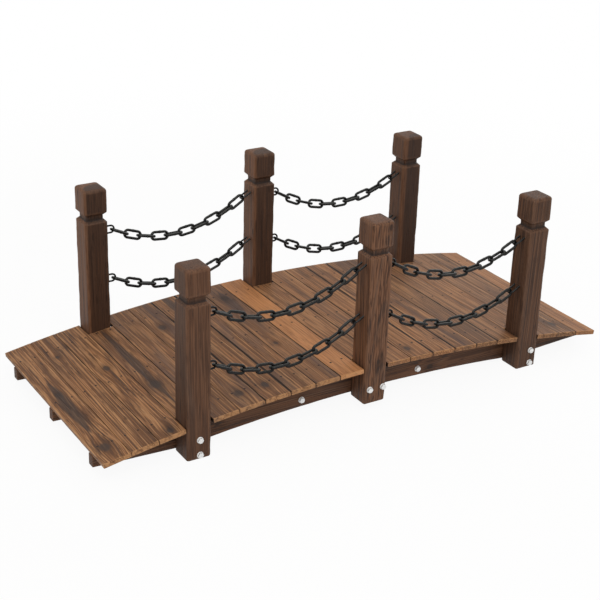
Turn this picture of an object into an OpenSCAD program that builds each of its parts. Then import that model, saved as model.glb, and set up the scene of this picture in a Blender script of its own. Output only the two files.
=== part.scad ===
// Small arched garden bridge with chain rails.
// Cross planks lie on three arched stringers. Six posts stand against the outer stringers.
// Chains hang from staples in the posts. Millimetres, +X along the walkway, +Y across it, +Z up.
// The origin is on the ground under the middle of the bridge.

/* [Deck] */
// Length of a plank, across the bridge
plank_length = 640; // [600:5:700]
// Width of a plank, along the bridge
plank_width = 70.8; // [68:0.2:76]
// Thickness of a plank
plank_thickness = 12; // [9:0.5:18]
// Gap between planks, at their undersides
plank_gap = 1.0; // [0.6:0.1:3]
// Rounding of a plank's upper arrises
plank_round = 1.5; // [0.5:0.25:3]
// Rise of the deck from its ends to its middle
deck_rise = 70; // [50:1:90]
// Height of the deck's end edges above the ground
deck_end_height = 56; // [50:1:72]

/* [Posts] */
// Side of a square post
post_side = 64; // [48:1:66]
// Length of a post
post_length = 495; // [440:5:560]
// How far the middle posts stand above the ground
middle_lift = 22.5; // [10:0.5:30]
// How far the outer posts stand out from the middle of their gap in the deck
post_shift = 2.5; // [0:0.5:3]
// Height of the cap above the groove
cap_height = 66; // [50:1:80]
// Height of the groove, with its sloping sides
groove_height = 27; // [22:1:36]
// Depth of the groove
groove_depth = 8; // [4:0.5:10]
// Rounding of the upright edges
post_round = 5; // [2:0.5:6]
// Rounding of the top edges
post_top_round = 8; // [2:0.5:10]
// Rounding of the foot's edges
post_foot_round = 3; // [1:0.5:6]

/* [Stringers] */
// Thickness of a stringer and of a splice board
stringer_thickness = 22; // [16:1:30]
// Height of the stringers' low places, by the outer posts, above the ground
stringer_clear = 5; // [2:0.5:8]
// Rise of the arch under the middle
arch_rise = 25; // [15:1:35]
// Half the span of that arch
arch_reach = 490; // [440:5:520]
// Rise of the stringers' tips above their low places
tip_rise = 9; // [4:0.5:14]
// How far the tips stay back from the deck's ends
tip_setback = 0.5; // [0.5:0.5:20]
// Length of a splice board
splice_length = 430; // [360:5:480]
// Depth of a splice board
splice_depth = 62; // [50:1:66]

/* [Chains] */
// Wire of a link
link_wire = 7.5; // [5:0.25:8]
// Length inside a link
link_inside = 41.5; // [36:0.25:50]
// Width inside a link
link_opening = 12.5; // [10:0.5:15]
// Roll of the links about the chain's run, their far sides down
chain_roll = 12; // [0:1:40]
// Wire of a staple
staple_wire = 5; // [4:0.25:6]
// Width of a staple, over its legs
staple_width = 25; // [23.5:0.5:30]
// How far a staple stands out of its post
staple_reach = 33; // [28:0.5:38]
// How far a staple's legs are driven in
staple_depth = 18; // [12:1:20]
// Slope of the staples at a chain's right-hand end
staple_slant = 30; // [0:1:35]
// Roll of those sloping staples, with the chain
staple_roll = 4; // [0:1:20]
// Upper chain, from the post's top down to a straight staple
upper_drop = 128; // [122:1:150]
// Lower chain, from the post's top down to a straight staple
lower_drop = 268; // [245:1:290]
// How much higher a sloping staple enters its post
slant_lift = 14; // [6:1:18]
// Least slack of a chain, as a share of its span
least_slack = 0.03; // [0.02:0.01:0.06]

/* [Fits] */
// Gap between chain links, and between a link and its staple
link_clear = 0.4; // [0.2:0.05:0.6]
// Gap round a staple's leg in its hole
leg_clear = 0.1; // [0.05:0.05:0.3]
// Gap where the two halves of a stringer meet
half_gap = 0.4; // [0.2:0.1:1]
// Gap between a short plank's end and its post
butt_gap = 0.4; // [0.2:0.1:1]

/* [Hidden] */
planks = 21;
bay_planks = 7;
middle_plank = (planks - 1) / 2;
post_planks = [middle_plank - bay_planks, middle_plank, middle_plank + bay_planks];
round_sides = 32;
wire_sides = 20;
bend_sides = 40;
arc_sides = 1440;

// Turns of correction for the deck's radius and for a chain's slopes, and the first step of those.
radius_turns = 8;
fit_turns = 12;
first_step = 0.12;

// How far a cut runs past the surface that it starts from.
cut_over = 1;

// The deck's undersides touch one arc, whose step is a plank and its gap.
plank_pitch = plank_width + plank_gap;
arc_length = planks * plank_pitch;
deck_radius = deck_rise_radius(radius_turns);
deck_step = plank_pitch / deck_radius * 180 / PI;
half_angle = deck_step * planks / 2;
deck_half = (deck_radius + plank_thickness) * sin(half_angle);
arc_centre = deck_end_height - (deck_radius + plank_thickness) * cos(half_angle);

// The outer posts stand out as far as asked, or as far as the planks beside them leave room for.
gap_middle = (deck_radius + plank_thickness / 2) * sin(bay_planks * deck_step);
next_angle = (bay_planks + 1) * deck_step;
next_edge = deck_radius * sin(next_angle) - plank_width / 2 * cos(next_angle);
post_x = gap_middle + min(post_shift, next_edge - butt_gap - post_side / 2 - gap_middle);
post_y = (plank_length - post_side) / 2;
stringer_y = plank_length / 2 - post_side - stringer_thickness / 2;
arch_radius = (arch_reach * arch_reach + arch_rise * arch_rise) / (2 * arch_rise);
stringer_top = arc_centre + deck_radius;
splice_middle = (stringer_top + stringer_clear + arch_rise) / 2;

link_bend = (link_opening + link_wire) / 2;
link_straight = link_inside + link_wire - 2 * link_bend;
link_step = link_inside - link_clear;

// Twist from one link to the next: two thirds of the twist at which their wires would meet.
link_twist = 2 / 3 * asin(1 - (link_wire + link_clear) / link_bend);
end_roll = min(staple_roll, chain_roll);
function link_roll(count, i) =
    min(chain_roll, link_twist * (i + 1), end_roll + link_twist * (count - 1 - i));

staple_bend = (staple_width - staple_wire) / 2;
bow_out = staple_reach - staple_width / 2;

// A link that lies across a staple's plane pulls in its bow, and one that lies in it round its wire.
bow_step = staple_bend - (staple_wire + link_wire) / 2 - link_clear
    + (link_inside + link_wire) / 2 + link_step / 2;
wire_step = (link_inside - staple_wire) / 2 - link_clear + link_step / 2;

// The radius at which an arc of the deck's length has the deck's rise, by repeated correction.
function deck_rise_radius(turns) =
    turns == 0
    ? arc_length * arc_length / (8 * deck_rise)
    : corrected_radius(deck_rise_radius(turns - 1));
function corrected_radius(r) =
    r * (r + plank_thickness) * (1 - cos(arc_length / r * 90 / PI)) / deck_rise;

function sum(list, i = 0) = i < len(list) ? list[i] + sum(list, i + 1) : 0;

// Places of the posts and the staples' bows, by the post's number from the left, 0 to 2.
function post_at(i) = (i - 1) * post_x;
function post_foot(i) = i == 1 ? middle_lift : 0;
function staple_height(i, drop) = post_foot(i) + post_length - drop;
function start_bow(i, drop) =
    [post_at(i) + post_side / 2 + bow_out, staple_height(i, drop)];
function end_bow(i, drop, out = bow_out) =
    [post_at(i) - post_side / 2, staple_height(i, drop) + slant_lift]
    - out * [cos(staple_slant), sin(staple_slant)];

// Links in the chain of a bay, and whether its end staple has its legs side by side.
function chain_count(bay, drop) =
    ceil(
        norm(end_bow(bay + 1, drop, bow_out + staple_bend) - start_bow(bay, drop) - [staple_bend, 0])
        * (1 + least_slack) / link_step
    );
function turned(count) = count % 2 == 0;
function chain_span(bay, drop, count) =
    end_bow(bay + 1, drop, turned(count) ? bow_out + staple_bend : bow_out) - start_bow(bay, drop);

// Length of the chain that belongs to link i, between the places where it turns.
function seg(count, i) =
    i == 0 ? bow_step : i < count - 1 ? link_step : turned(count) ? wire_step : bow_step;

// In a hanging chain of equal links the slopes go up by equal steps, fit = [middle slope, step].
function place(count, i) = i - (count - 1) / 2;
function slope(fit, count, i) = fit[0] + fit[1] * place(count, i);
function direction(t) = [1, t] / sqrt(1 + t * t);
function chain_start(fit, count, i) =
    i == 0
    ? [0, 0]
    : chain_start(fit, count, i - 1) + seg(count, i - 1) * direction(slope(fit, count, i - 1));

// Repeated correction finds the slopes with which the chain covers its span.
function chain_fit(span, count, turns) =
    turns == 0
    ? [span[1] / span[0], first_step]
    : better_fit(span, count, chain_fit(span, count, turns - 1));
function better_fit(span, count, fit) =
    let (
        n = [for (i = [0 : count - 1]) i],
        t = [for (i = n) slope(fit, count, i)],
        q = [for (i = n) seg(count, i) / pow(1 + t[i] * t[i], 1.5)],
        miss = chain_start(fit, count, count) - span,
        run_a = -sum([for (i = n) q[i] * t[i]]),
        run_b = -sum([for (i = n) q[i] * t[i] * place(count, i)]),
        rise_a = sum(q),
        rise_b = sum([for (i = n) q[i] * place(count, i)]),
        det = run_a * rise_b - run_b * rise_a
    )
    fit - [miss[0] * rise_b - miss[1] * run_b, miss[1] * run_a - miss[0] * rise_a] / det;

wood_deck = [0.48, 0.33, 0.23];
wood_frame = [0.30, 0.21, 0.16];
black_steel = [0.07, 0.07, 0.07];

sides = ["near", "far"];
rows = ["near", "middle", "far"];
halves = ["left", "right"];
places = ["left", "middle", "right"];
levels = ["upper", "lower"];

// Board section with its two upper corners rounded, the underside on z = 0.
module board_section(width, height, corner) {
    translate([-width / 2, 0])
        square([width, height - corner]);
    translate([-width / 2 + corner, 0])
        square([width - 2 * corner, height]);
    for (side = [-1, 1])
        translate([side * (width / 2 - corner), height - corner])
            circle(r = corner, $fn = round_sides);
}

module rounded_rectangle(width, height, corner) {
    translate([-width / 2 + corner, 0])
        square([width - 2 * corner, height]);
    translate([-width / 2, corner])
        square([width, height - 2 * corner]);
    for (side = [-1, 1], level = [corner, height - corner])
        translate([side * (width / 2 - corner), level])
            circle(r = corner, $fn = round_sides);
}

// A plank lies across the stringers, turned to follow the deck's arc.
module plank(i) {
    short = len(search(i, post_planks)) > 0;
    reach = short ? plank_length - 2 * post_side - 2 * butt_gap : plank_length;
    color(wood_deck)
        translate([0, reach / 2, arc_centre])
            rotate([0, (i - middle_plank) * deck_step, 0])
                translate([0, 0, deck_radius])
                    rotate([90, 0, 0])
                        linear_extrude(reach)
                            board_section(plank_width, plank_thickness, plank_round);
}

// Half of a stringer seen from the side, left of the middle.
module half_outline() {
    tip = deck_half - tip_setback;
    difference() {
        intersection() {
            translate([0, arc_centre])
                circle(r = deck_radius, $fn = arc_sides);
            translate([-tip, stringer_clear])
                square([tip - half_gap / 2, stringer_top]);
        }
        translate([0, stringer_clear + arch_rise - arch_radius])
            circle(r = arch_radius, $fn = arc_sides);
        polygon([
            [-post_x - post_side / 2, stringer_clear],
            [-tip - cut_over, stringer_clear + tip_rise],
            [-tip - cut_over, 0],
            [-post_x - post_side / 2, 0]
        ]);
    }
}

module stringer(row, half) {
    color(wood_frame)
        translate([0, row * stringer_y + stringer_thickness / 2, 0])
            mirror([half > 0 ? 1 : 0, 0, 0])
                rotate([90, 0, 0])
                    linear_extrude(stringer_thickness)
                        half_outline();
}

// A board on the inner face joins the two halves of a stringer.
module splice(row) {
    inward = row == 0 ? 1 : -row;
    color(wood_frame)
        translate([0, row * stringer_y + inward * stringer_thickness, splice_middle])
            cube([splice_length, stringer_thickness, splice_depth], center = true);
}

// Side view of a post: round ends, and a groove with sloping sides below the cap.
module post_outline() {
    groove_top = post_length - cap_height;
    groove_foot = groove_top - groove_height;
    difference() {
        intersection() {
            board_section(post_side, post_length, post_top_round);
            translate([0, post_length])
                mirror([0, 1])
                    board_section(post_side, post_length, post_foot_round);
        }
        for (side = [0, 1])
            mirror([side, 0])
                translate([post_side / 2, 0])
                    polygon([
                        [0, groove_top],
                        [-groove_depth, groove_top - groove_depth],
                        [-groove_depth, groove_foot + groove_depth],
                        [0, groove_foot],
                        [cut_over, groove_foot],
                        [cut_over, groove_top]
                    ]);
    }
}

module post_prism() {
    rotate([90, 0, 0])
        translate([0, 0, -post_side / 2])
            linear_extrude(post_side)
                post_outline();
}

module post_body() {
    intersection() {
        translate([0, -post_side / 2, 0])
            linear_extrude(post_length)
                rounded_rectangle(post_side, post_side, post_round);
        post_prism();
        rotate([0, 0, 90])
            post_prism();
    }
}

// A staple, its bow round the origin and its legs along -X. With grow it is the hole for one.
module staple(grow = 0) {
    wire = staple_wire + 2 * grow;
    rotate([90, 0, 0])
        rotate([0, 0, -90])
            rotate_extrude(angle = 180, $fn = bend_sides)
                translate([staple_bend, 0])
                    circle(d = wire, $fn = wire_sides);
    for (leg = [-1, 1])
        translate([0, 0, leg * staple_bend])
            rotate([0, -90, 0])
                cylinder(d = wire, h = bow_out + staple_depth + grow, $fn = wire_sides);
}

module start_staple(i, drop, grow = 0) {
    bow = start_bow(i, drop);
    translate([bow[0], 0, bow[1]])
        staple(grow);
}

module end_staple(i, drop, grow = 0) {
    bow = end_bow(i, drop);
    count = chain_count(i - 1, drop);
    translate([bow[0], 0, bow[1]])
        rotate([0, 180 - staple_slant, 0])
            rotate([(turned(count) ? 90 : 0) + end_roll, 0, 0])
                staple(grow);
}

// A post is one length of timber, with holes where the staples are driven in.
module post(side, i) {
    color(wood_frame)
        translate([0, side * post_y, 0])
            difference() {
                translate([post_at(i), 0, post_foot(i)])
                    post_body();
                for (drop = [upper_drop, lower_drop]) {
                    if (i < 2)
                        start_staple(i, drop, leg_clear);
                    if (i > 0)
                        end_staple(i, drop, leg_clear);
                }
            }
}

// A chain link round the origin, long in X and flat in the XZ plane.
module link() {
    for (end = [0, 1])
        mirror([end, 0, 0])
            translate([link_straight / 2, 0, 0])
                rotate([90, 0, 0])
                    rotate([0, 0, -90])
                        rotate_extrude(angle = 180, $fn = bend_sides)
                            translate([link_bend, 0])
                                circle(d = link_wire, $fn = wire_sides);
    for (side = [-1, 1])
        translate([-link_straight / 2, 0, side * link_bend])
            rotate([0, 90, 0])
                cylinder(d = link_wire, h = link_straight, $fn = wire_sides);
}

// A chain with its two staples. Every other link is turned, and the first lies across its staple.
// From an upright start the links roll more and more up to the chain's roll, and back to the staple's.
module chain(side, bay, drop) {
    count = chain_count(bay, drop);
    fit = chain_fit(chain_span(bay, drop, count), count, fit_turns);
    begin = start_bow(bay, drop);
    color(black_steel)
        translate([0, side * post_y, 0]) {
            start_staple(bay, drop);
            end_staple(bay + 1, drop);
            for (i = [0 : count - 1]) {
                t = slope(fit, count, i);
                lead = i == 0 ? bow_step - link_step / 2 : link_step / 2;
                middle = begin + chain_start(fit, count, i) + lead * direction(t);
                translate([middle[0], 0, middle[1]])
                    rotate([0, -atan(t), 0])
                        rotate([(i % 2 == 0 ? 90 : 0) - link_roll(count, i), 0, 0])
                            link();
            }
        }
}

for (n = [1 : planks])
    plank(n - 1);

for (row = [-1 : 1], half = [0, 1])
    stringer(row, half);

for (row = [-1 : 1])
    splice(row);

for (side = [0, 1], i = [0 : 2])
    post(2 * side - 1, i);

for (side = [0, 1], bay = [0, 1], level = [0, 1])
    chain(2 * side - 1, bay, level == 0 ? upper_drop : lower_drop);
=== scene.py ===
"""A small arched garden bridge with chain rails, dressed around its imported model.

Metres, +X along the walkway, +Y across it from near to far, +Z up, the ground at z = 0.
"""
import math

import bmesh
import bpy
import numpy as np
from mathutils import Matrix, Vector


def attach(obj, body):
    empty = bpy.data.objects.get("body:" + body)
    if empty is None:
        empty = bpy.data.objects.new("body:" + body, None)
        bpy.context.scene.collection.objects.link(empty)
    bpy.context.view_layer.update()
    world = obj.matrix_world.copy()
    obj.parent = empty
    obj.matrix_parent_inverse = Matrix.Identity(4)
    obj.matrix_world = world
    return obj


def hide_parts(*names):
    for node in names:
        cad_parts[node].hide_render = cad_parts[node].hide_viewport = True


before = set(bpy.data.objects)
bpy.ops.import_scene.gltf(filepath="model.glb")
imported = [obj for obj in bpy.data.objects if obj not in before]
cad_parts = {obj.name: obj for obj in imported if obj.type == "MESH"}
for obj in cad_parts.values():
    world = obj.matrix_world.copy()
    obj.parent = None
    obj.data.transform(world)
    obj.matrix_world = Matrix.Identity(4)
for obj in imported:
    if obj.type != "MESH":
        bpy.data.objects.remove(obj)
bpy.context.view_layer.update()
rng = np.random.default_rng(21)

# Sizes of the part, in metres.
PLANKS = 21
BAY_PLANKS = 7
PLANK_LENGTH = 0.640
PLANK_WIDTH = 0.0708
PLANK_THICKNESS = 0.012
PLANK_GAP = 0.001
PLANK_ROUND = 0.0015
PLANK_EASE = (0.0012, 0.0012)
# How much further than its solid a board reaches on each side, so that the boards look tightly laid.
SWELLING = 0.0003
DECK_RISE = 0.070
DECK_END_HEIGHT = 0.056
POST_SIDE = 0.064
POST_LENGTH = 0.495
POST_SHIFT = 0.0025
MIDDLE_LIFT = 0.0225
CAP_HEIGHT = 0.066
GROOVE_HEIGHT = 0.027
GROOVE_DEPTH = 0.008
GROOVE_EASE = 0.0012
POST_ROUND = 0.005
POST_TOP_ROUND = 0.008
POST_FOOT_ROUND = 0.003
STRINGER_THICKNESS = 0.022
STRINGER_CLEAR = 0.005
BEAM_ROUND = 0.0012
BEAM_EASE = (0.001, 0.001)
ARCH_RISE = 0.025
ARCH_REACH = 0.490
TIP_RISE = 0.009
TIP_SETBACK = 0.0005
TIP_OVERRUN = 0.001
SPLICE_LENGTH = 0.430
SPLICE_DEPTH = 0.062
LINK_WIRE = 0.0075
LINK_INSIDE = 0.0415
LINK_OPENING = 0.0125
LINK_CLEAR = 0.0004
LINKS = 10
LINK_SWAY = 0.015
CHAIN_ROLL = math.radians(12)
STAPLE_ROLL = math.radians(4)
STAPLE_WIRE = 0.005
STAPLE_WIDTH = 0.025
STAPLE_REACH = 0.033
STAPLE_DEPTH = 0.018
STAPLE_SLANT = math.radians(30)
UPPER_DROP = 0.128
LOWER_DROP = 0.268
SLANT_LIFT = 0.014
HALF_GAP = 0.0004
BUTT_GAP = 0.0004

# The deck's arc: its radius is corrected until the arc has the deck's rise.
RADIUS_TURNS = 8
PITCH = PLANK_WIDTH + PLANK_GAP
ARC = PLANKS * PITCH
deck_radius = ARC * ARC / (8 * DECK_RISE)
for _ in range(RADIUS_TURNS):
    deck_radius *= (deck_radius + PLANK_THICKNESS) * (1 - math.cos(ARC / deck_radius / 2)) / DECK_RISE
DECK_STEP = PITCH / deck_radius
HALF_ANGLE = DECK_STEP * PLANKS / 2
DECK_HALF = (deck_radius + PLANK_THICKNESS) * math.sin(HALF_ANGLE)
ARC_CENTRE = DECK_END_HEIGHT - (deck_radius + PLANK_THICKNESS) * math.cos(HALF_ANGLE)
POST_X = (deck_radius + PLANK_THICKNESS / 2) * math.sin(BAY_PLANKS * DECK_STEP) + POST_SHIFT
POST_Y = (PLANK_LENGTH - POST_SIDE) / 2
STRINGER_Y = PLANK_LENGTH / 2 - POST_SIDE - STRINGER_THICKNESS / 2
ARCH_RADIUS = (ARCH_REACH ** 2 + ARCH_RISE ** 2) / (2 * ARCH_RISE)
LINK_BEND = (LINK_OPENING + LINK_WIRE) / 2
LINK_STEP = LINK_INSIDE - LINK_CLEAR
STAPLE_BEND = (STAPLE_WIDTH - STAPLE_WIRE) / 2
BOW_OUT = STAPLE_REACH - STAPLE_WIDTH / 2


# Shader building

class Socket:
    """An output of a shader node. Arithmetic on it adds Math nodes."""

    def __init__(self, paint, out):
        self.paint = paint
        self.out = out

    def math(self, operation, *values):
        """Adds a Math node and returns its result."""
        return self.paint.add("ShaderNodeMath", {"operation": operation}, dict(enumerate(values)))

    def alone(self, operation):
        """Maths on this value alone, such as its square root."""
        return self.math(operation, self)

    def __add__(self, other):
        return self.math("ADD", self, other)

    __radd__ = __add__

    def __sub__(self, other):
        return self.math("SUBTRACT", self, other)

    def __rsub__(self, other):
        return self.math("SUBTRACT", other, self)

    def __mul__(self, other):
        return self.math("MULTIPLY", self, other)

    __rmul__ = __mul__

    def __truediv__(self, other):
        return self.math("DIVIDE", self, other)

    def __rtruediv__(self, other):
        return self.math("DIVIDE", other, self)

    def ramp(self, low, high):
        """0 up to low and 1 from high on, with a smooth step between."""
        settings = {"interpolation_type": "SMOOTHSTEP", "clamp": True}
        return self.paint.add("ShaderNodeMapRange", settings, {0: self, 1: low, 2: high, 3: 0.0, 4: 1.0})


class Paint:
    """A material, or a world, and the one method that adds its nodes."""

    def __init__(self, owner):
        self.owner = owner
        owner.use_nodes = True
        self.tree = owner.node_tree
        self.tree.nodes.clear()

    def add(self, kind, settings, values, out=0):
        """Adds a node, sets its settings, then its sockets' values or links, and returns an output."""
        node = self.tree.nodes.new(kind)
        for key, value in settings.items():
            setattr(node, key, value)
        for key, value in values.items():
            if isinstance(value, Socket):
                self.tree.links.new(value.out, node.inputs[key])
            else:
                node.inputs[key].default_value = value
        return Socket(self, node.outputs[out]) if len(node.outputs) else node

    def place(self):
        """Where a point is on its object."""
        return self.add("ShaderNodeTexCoord", {}, {}, "Object")

    def attribute(self, name, out="Vector"):
        """A point attribute of the mesh, as a vector or, with Fac, as one value."""
        return self.add("ShaderNodeAttribute", {"attribute_name": name}, {}, out)

    def split(self, vector):
        """The three parts of a vector."""
        parts = self.add("ShaderNodeSeparateXYZ", {}, {0: vector})
        return [Socket(self, o) for o in parts.out.node.outputs]

    def scaled(self, vector, *factors):
        """A vector, each part times its own factor."""
        return self.add("ShaderNodeVectorMath", {"operation": "MULTIPLY"}, {0: vector, 1: factors})

    def noise(self, vector, scale=1.0, detail=2.0, roughness=0.5, distortion=0.0):
        """Smooth noise by place, from 0 to 1 round a middle of a half."""
        values = {"Vector": vector, "Scale": scale, "Detail": detail, "Roughness": roughness}
        return self.add("ShaderNodeTexNoise", {}, {**values, "Distortion": distortion})

    def mix(self, share, first, second):
        """The first colour at a share of 0, the second at 1, and a blend between."""
        settings = {"data_type": "RGBA", "clamp_factor": True}
        return self.add("ShaderNodeMix", settings, {0: share, 6: first, 7: second}, 2)

    def surface(self, shader):
        """Puts a shader on the material and returns the material."""
        self.add("ShaderNodeOutputMaterial", {}, {"Surface": shader})
        return self.owner


def shade(red, green, blue):
    """A colour given as it looks on a screen, 0 to 255, as the linear colour that shaders take."""
    c = np.array([red, green, blue]) / 255
    linear = np.where(c <= 0.04045, c / 12.92, ((c + 0.055) / 1.055) ** 2.4)
    return (*linear.tolist(), 1.0)


# The near black brown of painted shade, in the joints between planks and in the groove under a post's cap.
PAINTED_SHADE_COLOUR = shade(26, 16, 11)
WHITE = (1.0, 1.0, 1.0, 1.0)


def stained_wood(name, *, dark, light, late, heart_shade, grey_shade, worn, ring, lines, rings_show,
                 lines_show, wear_shows):
    """Charred and stained softwood, worked out in the tree that the piece was sawn from.

    The grain attribute gives a point's place in that tree: x and y from the pith, z along the stem.
    Year rings are the distance from the pith, bent by slow waves and round the knots, and divided by
    the ring width: each ring darkens slowly outwards to its late wood and then ends. Long thin noise
    gives fibres, pores, streaks, brushed lines, dark flecks and light glints, and the lines along which
    such noise is half give fine checks. The heart near the pith, the flame of heartwood that a cut along
    the stem lays bare, and the stains are greyer. The look attribute is the tone, the greyness and the
    heart's radius, and the leaf attribute is the place in the flame and the boldness of the grain. The
    edge attribute is 1 on a worn edge, and below 0 it paints shade, darkest where it is lowest: the
    shade in the joints between planks and in the groove under a post's cap.
    """
    p = Paint(bpy.data.materials.new(name))
    grain = p.attribute("grain")
    x, y, z = p.split(grain)
    tone, grey, heart = p.split(p.attribute("look"))
    flame_across, flame_along, bold = p.split(p.attribute("leaf"))
    edge = p.attribute("edge", "Fac")

    wander = p.noise(p.scaled(grain, 8.0, 8.0, 1.5), detail=2.0) - 0.5
    ripple = p.noise(p.scaled(grain, 45.0, 45.0, 7.0), detail=3.0) - 0.5
    fibre = p.noise(p.scaled(grain, 640.0, 640.0, 9.0), detail=3.0, roughness=0.65)
    blotch = p.noise(p.scaled(grain, 17.0, 17.0, 3.4), detail=3.0)
    scorch = p.noise(p.scaled(grain, 30.0, 30.0, 5.5), detail=4.0, roughness=0.6).ramp(0.50, 0.72)

    core, halo, aside = 0.0, 0.0, 0.0
    for knot in ("knot_a", "knot_b"):
        across, along, size = p.split(p.attribute(knot))
        u, v = across / size, along / size
        reach = u * u * -0.16 + v * v * -0.035
        apart = u * u + v * v * 0.5
        away = apart.alone("SQRT") + ripple * 0.9
        core = (1.0 - away.ramp(0.55, 1.15)) + core
        halo = (1.0 - away.ramp(0.9, 2.8)) + halo
        aside = across * reach.alone("EXPONENT") * 0.92 + aside
    bent = x - aside
    stem = p.add("ShaderNodeCombineXYZ", {}, {0: x - aside * 0.6, 1: y, 2: z})
    line = p.noise(p.scaled(stem, lines, lines, 1.4), detail=1.0)
    streak = p.noise(p.scaled(stem, 150.0, 150.0, 1.6), detail=3.0, roughness=0.6)
    square = bent * bent + y * y
    out = square.alone("SQRT") + wander * 0.007 + ripple * 0.002
    phase = out / ring
    turn = phase.alone("FLOOR")
    rise = phase - turn
    lot = p.add("ShaderNodeTexWhiteNoise", {"noise_dimensions": "1D"}, {"W": turn})
    late_wood = rise.ramp(0.50, 0.90) * (1.0 - rise.ramp(0.92, 1.0)) * (lot * 0.7 + 0.3) * bold
    hearty = 1.0 - (out + (streak - 0.5) * 0.010).ramp(heart - 0.005, heart + 0.003)
    leaf = flame_across.alone("ABSOLUTE") + flame_along * flame_along
    flame = 1.0 - (leaf + (streak - 0.5) * 0.7 + ripple * 0.5).ramp(0.78, 1.08)
    stained = p.noise(p.scaled(grain, 26.0, 26.0, 3.0), detail=3.0, distortion=0.4).ramp(0.46, 0.66) * grey
    pores = p.noise(p.scaled(grain, 430.0, 430.0, 8.0), detail=1.0).ramp(0.58, 0.70)
    level = p.noise(p.scaled(grain, 60.0, 60.0, 1.1), detail=1.0) - 0.5
    checks = 1.0 - level.alone("ABSOLUTE").ramp(0.003, 0.016)
    checks = checks * p.noise(p.scaled(grain, 30.0, 30.0, 5.0), detail=1.0).ramp(0.5, 0.6)
    flecks = p.noise(p.scaled(grain, 210.0, 210.0, 20.0), detail=2.0, roughness=0.6).ramp(0.58, 0.68)
    glints = p.noise(p.scaled(stem, 250.0, 250.0, 5.0), detail=1.0).ramp(0.58, 0.70)
    wear = p.noise(p.scaled(grain, 90.0, 90.0, 24.0), detail=3.0).ramp(0.30, 0.60) * edge.ramp(0.15, 1.0)
    # Where the edge value is below 0 the wood is painted in shade, as in a joint or under a post's cap.
    joint = edge.ramp(-0.1, -0.8)

    colour = p.mix(tone + (blotch - 0.5) * 0.5, dark, light)
    colour = p.mix(fibre.ramp(0.48, 0.72) * 0.25, colour, light)
    colour = p.mix(scorch * bold * 0.24, colour, late)
    colour = p.mix(late_wood * rings_show, colour, late)
    colour = p.mix(line.ramp(0.48, 0.57) * bold * lines_show, colour, late)
    colour = p.mix((1.0 - line.ramp(0.40, 0.48)) * bold * lines_show * 0.85, colour, worn)
    colour = p.mix(streak.ramp(0.50, 0.68) * bold * 0.20, colour, late)
    colour = p.mix(pores * 0.30, colour, late)
    colour = p.mix(glints * bold * lines_show, colour, worn)
    colour = p.mix(hearty * (fibre * 0.5 + 0.5), colour, heart_shade)
    colour = p.mix(flame * (fibre * 0.5 + 0.55), colour, heart_shade)
    colour = p.mix(stained * 0.75, colour, grey_shade)
    colour = p.mix(halo * 0.34, colour, late)
    colour = p.mix(core * (fibre * 0.4 + 0.62), colour, heart_shade)
    colour = p.mix(flecks * bold * lines_show * 1.3, colour, late)
    colour = p.mix(checks * 0.6, colour, late)
    colour = p.mix(wear * wear_shows, colour, worn)
    colour = p.mix(joint * 0.92, colour, PAINTED_SHADE_COLOUR)

    height = late_wood * 0.5 + fibre * 0.35 + line * 0.4 - pores * 0.5 - core * 0.3 - checks * 0.8
    bump = p.add("ShaderNodeBump", {}, {"Strength": 0.5, "Distance": 0.0012, "Height": height})
    rough = 0.60 + (fibre - 0.5) * 0.25 - late_wood * 0.12 + stained * 0.1
    values = {"Base Color": colour, "Roughness": rough, "Normal": bump, "Specular IOR Level": 0.25}
    return p.surface(p.add("ShaderNodeBsdfPrincipled", {}, values))


def black_paint():
    """Black paint over steel: slightly uneven gloss, small runs, bare grey where it has rubbed, and a
    painted highlight, pale grey-green in patches, where the top attribute says that the wire faces up."""
    p = Paint(bpy.data.materials.new("black_paint"))
    place = p.place()
    runs = p.noise(place, 90.0, 4.0, 0.6)
    grit = p.noise(place, 900.0, 2.0)
    rubbed = p.noise(place, 230.0, 3.0, 0.7).ramp(0.62, 0.72)
    colour = p.mix(runs.ramp(0.35, 0.7), shade(8, 8, 8), shade(17, 17, 16))
    colour = p.mix(rubbed * 0.3, colour, shade(66, 64, 60))
    # A painted highlight, pale grey-green in patches, on the wire's upper side.
    painted_highlight = p.attribute("top", "Fac").ramp(0.45, 1.0) * p.noise(place, 150.0, 3.0).ramp(0.25, 0.6)
    colour = p.mix(painted_highlight * 0.25, colour, shade(108, 110, 102))
    bump = p.add("ShaderNodeBump", {}, {"Strength": 0.25, "Distance": 0.0006, "Height": runs + grit * 0.3})
    rough = 0.24 + (runs - 0.5) * 0.2 + rubbed * 0.2 + painted_highlight * 0.2
    values = {"Base Color": colour, "Roughness": rough, "Normal": bump, "Specular IOR Level": 0.25}
    return p.surface(p.add("ShaderNodeBsdfPrincipled", {}, values))


def zinc_plate():
    """Bright zinc plating: a pale metal with cloudy spangles and fine turning scratches."""
    p = Paint(bpy.data.materials.new("zinc_plate"))
    place = p.place()
    cloud = p.noise(place, 260.0, 3.0, 0.6)
    scratch = p.noise(p.scaled(place, 300.0, 300.0, 2600.0), 1.0, 2.0)
    colour = p.mix(cloud.ramp(0.3, 0.7), shade(216, 217, 218), shade(244, 244, 242))
    bump = p.add("ShaderNodeBump", {}, {"Strength": 0.15, "Distance": 0.0003, "Height": scratch + cloud})
    values = {"Base Color": colour, "Metallic": 0.7, "Roughness": 0.32 + cloud * 0.25, "Normal": bump}
    return p.surface(p.add("ShaderNodeBsdfPrincipled", {}, values))


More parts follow.
